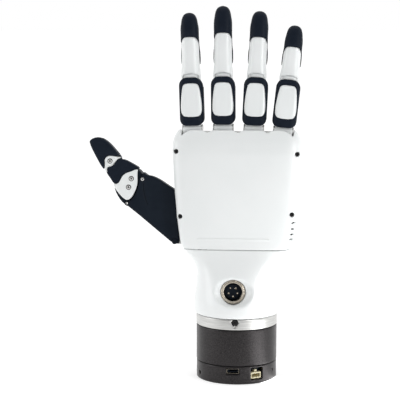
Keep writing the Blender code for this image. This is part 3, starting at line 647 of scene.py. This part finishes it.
def make_covers():
    """The two white covers of the palm."""

    def back(x, y, z):
        outer = skin(x, y, z)
        wall = without(outer, outer + WALL, 0.5)
        wall = both(wall, y - COVER_SPLIT, 0.35)
        wall = both(wall, COVER_LOW - z, 0.55)
        wall = both(wall, z - top_edge(x), 0.9)
        for joint in KNUCKLES.values():
            u, w = in_finger(joint, x, z)
            room = np.maximum(np.maximum(np.abs(u) - 7.3, -8.9 - y), -8.4 - w)
            wall = without(wall, room, 0.4)
        for place in SCREWS.values():
            post = both(length(x - place.x, z - place.z) - 2.6, np.maximum(outer + 0.3, y - COVER_SPLIT + 0.1))
            wall = either(wall, post, 0.8)
            wall = without(wall, both(length(x - place.x, z - place.z) - 1.65, y - COVER_SPLIT - 5), 0.35)
        for height in (100.0, 103.4, 107.2, 111.6):
            vent = block(x, y, z, (36.0, -11.0, height - 0.55), (46, -5.5, height + 0.55), 0.5)
            wall = without(wall, vent, 0.25)
        return wall

    low, high = (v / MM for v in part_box("back_cover"))
    low.y -= 0.5
    piece(surface("palm_back", back, low, high, 0.65, 0.5), "hand", "white_shell", ["back_cover"])

    def strip(x, y, z):
        outer = skin(x, y, z)
        return both(rectangle(x, z, (-27.5, 99.0), (23.0, 100.8), 0.85), slab(outer, -0.5, 0.22), 0.2)

    obj = surface("palm_strip", strip, (-27.5, -16.0, 99.0), (23.0, -14.0, 100.8), 0.25, 0.4)
    piece(obj, "hand", "white_shell")

    low, high = (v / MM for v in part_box("palm_cover"))

    def front(x, y, z):
        outer = skin(x, y, z)
        wall = without(outer, outer + WALL, 0.5)
        wall = both(wall, low.y - y, 0.35)
        wall = both(wall, slab(z, low.z, high.z), 0.8)
        room = block(x, y, z, (-70, -9, 70), (-23.2, 40, 152.5), 2.0)
        wall = without(wall, room, 0.6)
        panel = rectangle(x, z, (-18.5, 99), (36, 156), 9.0)
        groove = both(np.abs(panel) - 0.35, -(outer + 0.5))
        return without(wall, groove, 0.2)

    piece(surface("palm_front", front, low, high, 0.7, 0.45), "hand", "white_shell", ["palm_cover"])
    for name, place in SCREWS.items():
        box_low, box_high = (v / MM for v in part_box(name))
        at = (place.x, box_low.y, place.z)
        head(name + "_head", "hand", "black_screw", at, 1.4, box_high.y - box_low.y, [name])


# ---------------------------------------------------------------- fingers


def local_box(node, place):
    """The corners of a CAD node in a finger's frame, in millimetres."""
    inverse = place.inverted()
    points = np.array([inverse @ v.co for v in frame["nodes"][node].data.vertices]) / MM
    return points.min(0), points.max(0)


SECTION_RADIUS = 4.6
TONGUE_HALF = 5.0
ARCH_TOP = 2.9  # how far the last phalanx's foot is above the sleeve at its middle


def squircle(x, y, a, b):
    """1 on a section with rounded sides, a and b across it from its middle, and less inside it."""
    return ((np.abs(x) / a) ** 2.6 + (np.abs(y) / b) ** 2.6) ** (1 / 2.6)


def crown(x, y, z, radius):
    """A round tongue about the X axis whose radius falls off like the finger's rounded sides."""
    return length(y, z) - radius * np.maximum(1 - (np.abs(x) / 6.95) ** 2.6, 0.05) ** (1 / 2.6)


def arch(x, z, top):
    """How far a point is above the arched foot of the last phalanx, whose highest point is at top."""
    return z - (top - 0.068 * x * x)


def make_proximal(name, place, joint_z):
    body = name + "_first_phalanx"
    low, high = local_box(name + "_proximal_sleeve", place)
    low[[0, 2]] += (-0.35, 0.45)
    high[0] += 0.35
    cover_low, cover_high = local_box(name + "_proximal_cover", place)
    bottom, top = cover_low[2] - 0.3, cover_high[2]
    right = ((3.4, top), (5.3, top - 1.2), (6.3, top - 5), (7.1, top - 12), (7.4, bottom + 6))
    right += ((6.9, bottom + 2), (4.6, bottom))
    outline = softened(right + tuple((-x, z) for x, z in right[::-1]), 1)

    def section(x, y, radius, grow):
        return rectangle(x, y, (low[0], cover_low[1]), (high[0], high[1]), radius) - grow

    def sleeve(x, y, z):
        front = rectangle(x, z, (low[0], low[2]), (high[0], high[2]), np.interp(z, (18, 28), (5.2, 6.4)))
        shape = both(section(x, y, SECTION_RADIUS, 0), front, 1.0)
        shape = without(shape, block(x, y, z, (-6.3, -6.3, 0), (6.3, 6.3, 50)), 0.4)
        shape = without(shape, disc(y, z - joint_z, x, 6.45, -12, 12), 0.4)
        shape = without(shape, block(x, y, z, (-12, -1.8, 33.5), (12, 12, 60), 0.8), 0.6)
        window = both(polygon(x, z, outline) - 0.12, y + 5.7)
        return without(shape, window, 0.3)

    obj = surface(name + "_sleeve", sleeve, (low[0], cover_low[1], low[2]), high, 0.5, 0.6, place)
    piece(obj, body, "black_rubber", [name + "_proximal_sleeve"])

    def cover(x, y, z):
        shape = both(section(x, y, SECTION_RADIUS, 0.12), polygon(x, z, outline), 0.5)
        return both(shape, y + 5.8, 0.1)

    corner_low, corner_high = (-7.3, cover_low[1] - 0.2, bottom), (7.3, -5.8, top)
    obj = surface(name + "_back_inset", cover, corner_low, corner_high, 0.45, 0.7, place)
    piece(obj, body, "white_shell", [name + "_proximal_cover"])

    def link(x, y, z):
        shape = disc(y, z, x, 7.2, -6.45, 6.45, 0.8)
        shape = either(shape, block(x, y, z, (-6.45, -7.0, 0), (6.45, 7.0, 6.4), 0.8), 0.4)
        shape = either(shape, block(x, y, z, (-6, -6, 4), (6, 6, 33.4), 0.8), 0.4)
        shape = either(shape, block(x, y, z, (-TONGUE_HALF, -4.4, 30), (TONGUE_HALF, 4.4, joint_z), 0.6), 0.4)
        shape = either(shape, both(crown(x, y, z - joint_z, 5.7), np.abs(x) - TONGUE_HALF, 0.3), 0.3)
        belt = both(slab(length(y, z - joint_z), 5.85, 6.45), np.abs(x) - 6.6, 0.2)
        belt = both(belt, both(arch(x, z, high[2] + ARCH_TOP - 0.9), y, 0.2), 0.2)
        belt = both(belt, (squircle(x, y, 6.8, 6.5) - 1) * 6.5, 0.2)
        shape = np.minimum(shape, belt)
        shape = without(shape, block(x, y, z, (-1.7, -12, -12), (1.7, 12, 0.7), 0.3), 0.4)
        return without(shape, length(y, z) - 1.8, 0.3)

    obj = surface(name + "_first_link", link, (-6.5, -7.3, -7.3), (6.5, 7.3, joint_z + 6.2), 0.5, 0.6, place)
    piece(obj, body, "white_shell", [name + "_proximal_link"])

    def plates(x, y, z):
        side = block(np.abs(x), y, z, (6.3, -6.2, 3.2), (7.15, 6.2, 6.5), 0.3)
        return either(side, disc(y, z - 3.2, np.abs(x), 4.6, 6.3, 7.15, 0.3), 0.2)

    obj = surface(name + "_side_plates", plates, (-7.2, -6.2, -1.5), (7.2, 6.2, 6.5), 0.3, 0.7, place)
    piece(obj, body, "brushed_aluminium")


def make_distal(name, place, joint_z):
    body = name + "_last_phalanx"
    low, high = local_box(name + "_fingertip", place)
    _, white_high = local_box(name + "_distal_link", place)
    foot = local_box(name + "_proximal_sleeve", place)[1][2] + ARCH_TOP
    tip = high[2]
    shoulder = tip - 12.0
    half_y = 6.5
    white_top = white_high[2]
    split = 1.6

    def shape(x, y, z, grow=0.0):
        """The whole phalanx: it narrows slowly from the joint up, and its tip is a narrow dome."""
        a = np.interp(z, (joint_z, joint_z + 8, white_top), (6.95, 6.25, 5.85)) + grow
        b = half_y + grow - 0.1 * np.clip((z - joint_z) / (shoulder - joint_z), 0, 1)
        ring = squircle(x, y, a, b)
        end = np.maximum(z - shoulder, 0) / (tip - shoulder)
        dome = 1 - end**6
        width = np.sign(dome) * np.abs(dome) ** 0.45 * (1 - 0.24 * np.minimum(end, 1.5) ** 1.3)
        return (ring - width) * half_y

    def white_area(x, z, grow):
        """The white back seen from behind: its top is an arch, and so is its foot."""
        drop = 4.2 * (np.abs(x) / 6.2) ** 6 + 0.02 * x * x
        top = (z - white_top + drop) / np.sqrt(1 + (4.1 * (np.abs(x) / 6.2) ** 5 + 0.04 * np.abs(x)) ** 2)
        base = -arch(x, z, foot) / np.sqrt(1 + 0.0185 * x * x)
        return both(top, base, 0.3) - grow

    def white(x, y, z):
        shell = both(shape(x, y, z), y - split, 0.3)
        shell = both(shell, white_area(x, z, 0), 0.35)
        cheeks = disc(y, z - joint_z, x, 5.6, -6.8, 6.8, 0.8)
        root = block(x, y, z, (-6.8, -5.2, joint_z), (6.8, split, joint_z + 6), 0.6)
        cheeks = both(both(either(cheeks, root, 0.5), shape(x, y, z), 0.2), TONGUE_HALF + 0.3 - np.abs(x), 0.3)
        shell = either(shell, cheeks, 0.3)
        room = both(crown(x, y, z - joint_z, 6.0), np.abs(x) - TONGUE_HALF - 0.3)
        return without(shell, room, 0.2)

    corner_low, corner_high = (-6.9, -half_y, joint_z - 5.6), (6.9, split, white_top)
    obj = surface(name + "_last_shell", white, corner_low, corner_high, 0.45, 0.6, place)
    piece(obj, body, "white_shell", [name + "_distal_link"])

    def pad(x, y, z):
        bulge = 0.45 * np.exp(-(((z - joint_z - 14) / 5.0) ** 4))
        step = 0.5 - 0.12 * np.clip((z - tip + 9.0) / 1.2, 0, 1)
        outer = shape(x, y, z, step + bulge * np.clip(y - split, 0, 1))
        outer = both(outer, joint_z + 8.0 - z, 0.8)
        keep_out = both(white_area(x, z, 0.13), y - split - 0.25)
        return without(outer, keep_out, 0.25)

    corner_low, corner_high = (low[0] - 0.6, low[1], low[2]), (high[0] + 0.6, high[1], tip)
    obj = surface(name + "_tip", pad, corner_low, corner_high, 0.45, 0.6, place)
    piece(obj, body, "black_rubber", [name + "_fingertip"])


def make_fingers():
    for name, joint in KNUCKLES.items():
        place = finger_place(joint)
        joint_z = (Vector(JOINTS[name + "_middle_joint"]["pos_m"]) - Vector(joint["pos_m"])).length / MM
        make_proximal(name, place, joint_z)
        make_distal(name, place, joint_z)


# ---------------------------------------------------------------- thumb

WEDGE = (
    (-88.0, 136.4),
    (-87.0, 133.2),
    (-85.6, 129.2),
    (-82.3, 124.0),
    (-78.9, 121.2),
    (-76.4, 120.4),
    (-47.6, 96.2),
    (-45.8, 94.9),
    (-41.8, 94.2),
    (-40.7, 94.6),
    (-41.1, 112.0),
    (-42.6, 131.6),
    (-43.4, 132.7),
    (-48.6, 135.9),
    (-54.3, 139.9),
    (-60.0, 142.7),
    (-63.4, 143.2),
    (-64.8, 144.2),
    (-68.0, 146.9),
    (-69.4, 147.6),
    (-75.0, 148.6),
    (-86.0, 140.0),
)
CHEEK_ROOM = (
    (-64.0, 152.6),
    (-61.6, 147.0),
    (-66.0, 144.0),
    (-68.4, 141.0),
    (-69.1, 137.4),
    (-70.0, 133.4),
    (-72.4, 128.4),
    (-75.0, 124.8),
    (-77.6, 123.4),
    (-82.0, 121.0),
    (-93.0, 126.0),
    (-98.0, 136.0),
    (-98.0, 156.0),
)
CHEEK = (
    (-70.0, 147.6),
    (-70.3, 145.8),
    (-70.5, 143.6),
    (-70.3, 138.1),
    (-71.2, 134.0),
    (-73.2, 129.3),
    (-75.6, 126.0),
    (-78.0, 124.9),
    (-80.7, 126.6),
    (-83.8, 130.0),
    (-85.8, 132.7),
    (-87.4, 135.4),
    (-87.0, 138.4),
    (-82.0, 146.0),
    (-76.0, 149.4),
    (-72.0, 149.6),
)
CORE = (
    (-87.2, 135.6),
    (-90.4, 142.6),
    (-90.6, 146.6),
    (-88.0, 149.8),
    (-84.6, 151.4),
    (-80.6, 152.4),
    (-77.6, 151.2),
    (-74.0, 147.0),
    (-79.0, 140.0),
    (-82.6, 133.6),
)
MIDDLE_PAD = (
    (-68.8, 148.0),
    (-69.8, 147.0),
    (-72.0, 147.0),
    (-74.6, 145.6),
    (-78.2, 144.6),
    (-81.0, 142.6),
    (-82.4, 139.8),
    (-83.8, 137.4),
    (-85.6, 136.5),
    (-87.8, 137.2),
    (-89.6, 140.2),
    (-92.2, 143.8),
    (-92.7, 146.0),
    (-92.1, 147.9),
    (-90.2, 149.0),
    (-87.8, 150.0),
    (-86.0, 152.2),
    (-84.3, 154.2),
    (-82.0, 154.6),
    (-79.6, 154.2),
    (-76.7, 152.7),
    (-72.4, 150.3),
)
TIP = (
    (-104.7, 165.4),
    (-102.8, 168.2),
    (-99.0, 169.5),
    (-95.4, 169.3),
    (-92.0, 167.2),
    (-88.4, 163.8),
    (-85.4, 160.2),
    (-82.4, 156.6),
    (-82.0, 155.9),
    (-83.6, 155.9),
    (-87.0, 155.8),
    (-92.0, 151.6),
    (-93.6, 146.6),
    (-94.4, 146.6),
    (-97.2, 150.8),
)
TIP_EAR = (
    (-81.8, 155.0),
    (-84.6, 155.7),
    (-87.6, 156.4),
    (-90.8, 156.6),
    (-93.0, 155.4),
    (-93.9, 153.2),
    (-93.6, 150.4),
    (-93.9, 147.4),
    (-93.3, 145.0),
    (-91.8, 145.0),
    (-92.0, 147.9),
    (-90.4, 149.0),
    (-88.1, 149.9),
    (-86.1, 152.2),
    (-84.4, 154.2),
)
REACH = 8.4


def pivot(name):
    x, y, z = JOINTS[name]["pos_m"]
    return Vector((x / MM, y / MM, z / MM))


def make_thumb():
    root, middle, tip_pivot = (pivot(f"thumb_{n}_flexion") for n in ("root", "middle", "tip"))
    y0, half = root.y, 7.7
    bend = math.radians(JOINTS["thumb_tip_flexion"]["range_deg"][1])
    ear, pad_outline = softened(TIP_EAR, 1), softened(MIDDLE_PAD, 1)
    tip_outline = softened(tuple((x - 0.5, z + 0.4) for x, z in TIP))

    def around(x, z, centre):
        return length(x - centre.x, z - centre.z)

    def leaning(x, y, z, outline):
        """An outline whose top faces fall a little towards the palm side."""
        return np.maximum(polygon(x, z, outline), polygon(x, z + 0.12 * (y - y0 + half), outline))

    def sector(x, z, centre, start, end):
        """About the distance to a sector round a centre. Angles in degrees, at most half a turn in all."""
        a, b = math.radians(start), math.radians(end)
        dx, dz = x - centre.x, z - centre.z
        return np.maximum(dx * math.sin(a) - dz * math.cos(a), dz * math.cos(b) - dx * math.sin(b))

    def metacarpal(x, y, z):
        body = both(leaning(x, y, z, softened(WEDGE, 1)), np.abs(y - y0) - half, 1.0)
        cheeks = both(polygon(x, z, softened(CHEEK_ROOM, 1)), 5.2 - np.abs(y - y0))
        core = both(REACH - around(x, z, middle), sector(x, z, middle, 28, 206))
        body = without(without(body, cheeks, 0.4), core, 0.4)
        body = without(body, block(x, y, z, (-52, y0 - 3.4, 80), (-30, y0 + 3.4, 109), 0.6), 0.4)
        body = without(body, block(x, y, z, (-67, y0 - 4.6, 114), (-52, y0 + half + 3, 133.5), 0.6), 0.4)
        body = without(body, around(x, z, root) - 1.8, 0.2)
        line = np.abs(x + 66.4 - 0.012 * (138.0 - z) ** 2) - 0.3
        return without(body, both(both(line, y - (y0 - half + 0.6)), slab(z, 122, 138.0)), 0.12)

    low, high = (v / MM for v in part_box("thumb_metacarpal"))
    obj = surface("thumb_base", metacarpal, low, high, 0.55, 0.55)
    piece(obj, "thumb_root", "black_plastic", ["thumb_metacarpal"])

    def link(x, y, z):
        v = np.abs(y - y0)
        body = both(polygon(x, z, softened(CHEEK)), v - half, 0.6)
        body = without(body, polygon(x, z, pad_outline) - 0.1, 0.25)
        body = either(body, both(polygon(x, z, softened(CORE, 1)), v - 4.9, 0.5), 0.3)
        body = either(body, both(polygon(x, z, ear), v - 6.5, 0.5), 0.2)
        swing = both(np.maximum(4 - around(x, z, middle), sector(x, z, middle, 206, 386)), v - 5.5)
        body = without(body, both(around(x, z, middle) - REACH - 0.5, v - 5.5), 0.2)
        body = without(body, swing, 0.2)
        body = without(body, both(around(x, z, tip_pivot) - 3.5, v - 2.6), 0.2)
        opening = both(sector(x, z, tip_pivot, 35, 200), around(x, z, tip_pivot) - 9)
        return without(body, both(opening, v - 4.9), 0.2)

    low, high = (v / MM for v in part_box("thumb_link"))
    high.z = max(high.z, 156.2)
    piece(surface("thumb_fork", link, low, high, 0.35, 0.5), "thumb_middle", "white_shell", ["thumb_link"])

    def pad(x, y, z):
        v = np.abs(y - y0)
        body = both(leaning(x, y, z, pad_outline), v - 7.0, 0.8)
        core = both(polygon(x, z, softened(CORE, 1)) - 0.3, v - 5.1)
        body = without(body, core, 0.2)
        body = without(body, both(around(x, z, middle) - REACH - 0.5, v - 5.6), 0.2)
        body = without(body, both(polygon(x, z, ear) - 0.15, v - 12), 0.2)
        web = both(slab(around(x, z, tip_pivot), 4.4, 7.9), sector(x, z, tip_pivot, -20, 34), 0.3)
        return either(body, both(web, v - 2.4, 0.3), 0.2)

    low, high = (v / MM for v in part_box("thumb_middle_pad"))
    high.z += 2.6
    obj = surface("thumb_pad", pad, low, high, 0.4, 0.6)
    piece(obj, "thumb_middle", "black_rubber", ["thumb_middle_pad"])

    def tip(x, y, z):
        v = np.abs(y - y0)
        body = both(leaning(x, y, z, tip_outline), v - 6.9, 1.8)
        body = without(body, both(around(x, z, tip_pivot) - 4.4, 2.3 - v), 0.3)
        hub = both(around(x, z, tip_pivot) - 3.0, v - 2.2, 0.3)
        slot = both(slab(around(x, z, tip_pivot), 3.2, 9.2), sector(x, z, tip_pivot, -30, 60), 0.2)
        body = without(body, both(slot, v - 2.8), 0.2)
        body = without(body, both(around(x, z, tip_pivot) - 3.9, v - 99), 0.2)
        for share in (0.5, 1.0):
            turn = bend * share
            dx, dz = x - tip_pivot.x, z - tip_pivot.z
            u, w = dx * math.cos(turn) + dz * math.sin(turn), dz * math.cos(turn) - dx * math.sin(turn)
            swung = polygon(tip_pivot.x + u, tip_pivot.z + w, pad_outline) - 0.15
            body = without(body, both(swung, v - 7.3), 0.2)
        neck = ((-92.9, 152.3), (-89.4, 153.0), (-90.9, 160.3), (-95.9, 158.3))
        body = either(body, either(hub, both(polygon(x, z, neck), v - 2.2, 0.3), 0.3), 0.3)
        return without(body, around(x, z, tip_pivot) - 1.3, 0.1)

    low, high = (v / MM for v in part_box("thumb_tip"))
    obj = surface("thumb_end_pad", tip, low, high + Vector((0, 0, 1.0)), 0.4, 0.6)
    piece(obj, "thumb_end", "black_rubber", ["thumb_tip"])

    face = y0 - half
    for name, body, (x, y, z), radius in (
        ("thumb_middle_screw", "thumb_middle", (middle.x, face - 0.3, middle.z + 0.9), 1.45),
        ("thumb_lower_screw", "thumb_middle", (-76.7, face - 0.3, 134.4), 1.45),
        ("thumb_tip_screw", "thumb_middle", (tip_pivot.x, y0 - 6.5 - 0.3, tip_pivot.z + 0.5), 1.4),
        ("thumb_shell_screw", "thumb_root", (-66.8, face - 0.25, 140.1), 1.15),
        ("thumb_small_screw", "thumb_root", (-78.0, face - 0.2, 122.9), 0.8),
    ):
        # Each screw gets a dark ring of painted shade round its head, where a groove would be shaded.
        head(name, body, "steel", (x, y, z), radius, 1.1, shade_ring=0.4)
    head("thumb_root_ring", "thumb_root", "black_plastic", (root.x, face - 0.75, root.z), 2.0, 0.85)


# ---------------------------------------------------------------- the rest of the CAD


def dress_cad_nodes():
    """Gives each CAD node its finish, by the record's table, and a small bevel on its edges."""
    slots = {part["node"]: part["material_slot"] for part in frame["record"]["subparts"]}
    for name, obj in frame["nodes"].items():
        obj.data.materials.clear()
        obj.data.materials.append(FINISHES[slots[name]])
        if not obj.hide_render:
            edge = obj.modifiers.new("edges", "BEVEL")
            edge.width = 0.15 * MM
            edge.segments = 2
            edge.limit_method = "ANGLE"
            edge.angle_limit = math.radians(40)


# ---------------------------------------------------------------- stage

FLOOR_RINGS = (0.2, 0.5, 1.2, 3.0, 8.0, 20.0)  # radii in metres
FLOOR_SPOKES = 48
FLOOR_GLOW = 0.5  # how much the floor shines, except in front of the hand
GLOW_FADE = (-0.3, -0.1)  # the Y, in metres, between which that fades in
PATCH_AZIMUTH = 62  # the patch of floor that the coupling mirrors, in degrees from -Y towards X
PATCH_GLOW = 4.0
PATCH_SIDES = (24, 8)  # degrees from its middle where the patch starts, and where it is full
PATCH_END = (0.26, 0.18)  # metres from the wrist's axis where it starts, and where it is full
FRONT_LIGHT = 0.22  # how bright the studio is in front of the hand, next to 1 behind it
FRONT_FADE = (-1.0, 0.1)  # the Y of the directions between which it goes from one to the other
LIGHTS = (  # name, place, height aimed at, width and height, watts
    ("soft box", (0.88, -0.82, 0.25), 0.15, (0.14, 0.6), 4.2),
    ("left", (-1.1, -0.32, 0.15), 0.12, (0.5, 0.7), 3.3),
    ("top", (0.0, -0.2, 1.2), 0.1, (0.9, 0.9), 2.2),
)
CAMERA_AZIMUTH, CAMERA_ELEVATION = math.radians(4), math.radians(7.5)
CAMERA_TARGET = Vector((-0.0261, 0.0, 0.1257))
CAMERA_DISTANCE = 1.0
SENSOR_MM = 36
VIEW_WIDTH = 0.282  # how wide a strip the camera sees at 1 metre, in metres


def aim(obj, where, direction):
    """Puts a light or the camera at a place, looking along a direction."""
    obj.location = where
    obj.rotation_mode = "QUATERNION"
    obj.rotation_quaternion = direction.to_track_quat("-Z", "Y")


def floor_material():
    """Pale and matt, with a weak glow and one bright patch on the hand's right."""
    p = Paint("floor")
    p.vary("Base Color", p.noise(300, 2), (0.72, 0.72, 0.72), (0.74, 0.74, 0.74))
    p.set(Roughness=0.9, Specular_IOR_Level=0.0, Emission_Color=(1, 1, 1, 1))
    axes = p.tree.nodes.new("ShaderNodeSeparateXYZ")
    p.link(p.place, axes.inputs["Vector"])
    out = p.tree.nodes.new("ShaderNodeVectorMath")
    out.operation = "LENGTH"
    p.link(p.place, out.inputs[0])
    glow = p.mapped(axes.outputs["Y"], GLOW_FADE, (0.0, FLOOR_GLOW))
    turn = p.maths("ARCTAN2", axes.outputs["X"], axes.outputs["Y"])
    off = p.maths("ABSOLUTE", p.maths("SUBTRACT", turn, math.radians(180 - PATCH_AZIMUTH)))
    sides = p.mapped(off, [math.radians(a) for a in PATCH_SIDES], (0.0, PATCH_GLOW))
    end = p.mapped(out.outputs["Value"], PATCH_END, (0.0, 1.0))
    p.link(p.maths("MULTIPLY_ADD", sides, end, glow), p.shader.inputs["Emission Strength"])
    return p.material


def make_floor():
    """A wide round floor."""
    spokes = [2 * math.pi * i / FLOOR_SPOKES for i in range(FLOOR_SPOKES)]
    verts = [(r * math.cos(a), r * math.sin(a), 0.0) for r in FLOOR_RINGS for a in spokes]
    rows = [
        [k * FLOOR_SPOKES + i % FLOOR_SPOKES for i in range(FLOOR_SPOKES + 1)]
        for k in range(len(FLOOR_RINGS))
    ]
    faces = [
        (outer[i], outer[i + 1], inner[i + 1], inner[i])
        for inner, outer in zip(rows, rows[1:])
        for i in range(FLOOR_SPOKES)
    ]
    mesh = bpy.data.meshes.new("floor")
    mesh.from_pydata(verts, [], faces + [tuple(range(FLOOR_SPOKES))])
    floor = new_object("floor", mesh)
    mesh.materials.append(floor_material())


def make_world():
    """White from all sides, and weaker from the front."""
    world = bpy.data.worlds.new("studio")
    bpy.context.scene.world = world
    world.use_nodes = True
    nodes, link = world.node_tree.nodes, world.node_tree.links.new
    axes = nodes.new("ShaderNodeSeparateXYZ")
    fade = nodes.new("ShaderNodeMapRange")
    for name, number in zip(RANGE_INPUTS, (*FRONT_FADE, FRONT_LIGHT, 1.0)):
        fade.inputs[name].default_value = number
    link(nodes.new("ShaderNodeTexCoord").outputs["Generated"], axes.inputs["Vector"])
    link(axes.outputs["Y"], fade.inputs["Value"])
    link(fade.outputs["Result"], nodes["Background"].inputs["Strength"])
    nodes["Background"].inputs["Color"].default_value = (1, 1, 1, 1)


def make_stage():
    """The floor, the soft light from all sides, and three soft boxes."""
    make_floor()
    make_world()
    for name, where, height, size, power in LIGHTS:
        light = bpy.data.lights.new(name, "AREA")
        light.shape = "RECTANGLE"
        light.size, light.size_y = size
        light.energy = power
        aim(new_object(name, light), where, Vector((0, 0, height)) - Vector(where))

    bpy.context.scene.view_settings.view_transform = "Standard"
    bpy.context.scene.view_settings.look = "None"


def make_camera():
    level = math.cos(CAMERA_ELEVATION)
    back = Vector(
        (math.sin(CAMERA_AZIMUTH) * level, -math.cos(CAMERA_AZIMUTH) * level, math.sin(CAMERA_ELEVATION))
    )
    data = bpy.data.cameras.new("camera")
    data.lens = SENSOR_MM / VIEW_WIDTH
    camera = new_object("camera", data)
    aim(camera, CAMERA_TARGET + back * CAMERA_DISTANCE, -back)
    bpy.context.scene.camera = camera


make_camera()
make_stage()
make_coupling()
make_wrist()
make_covers()
make_fingers()
make_thumb()
dress_cad_nodes()
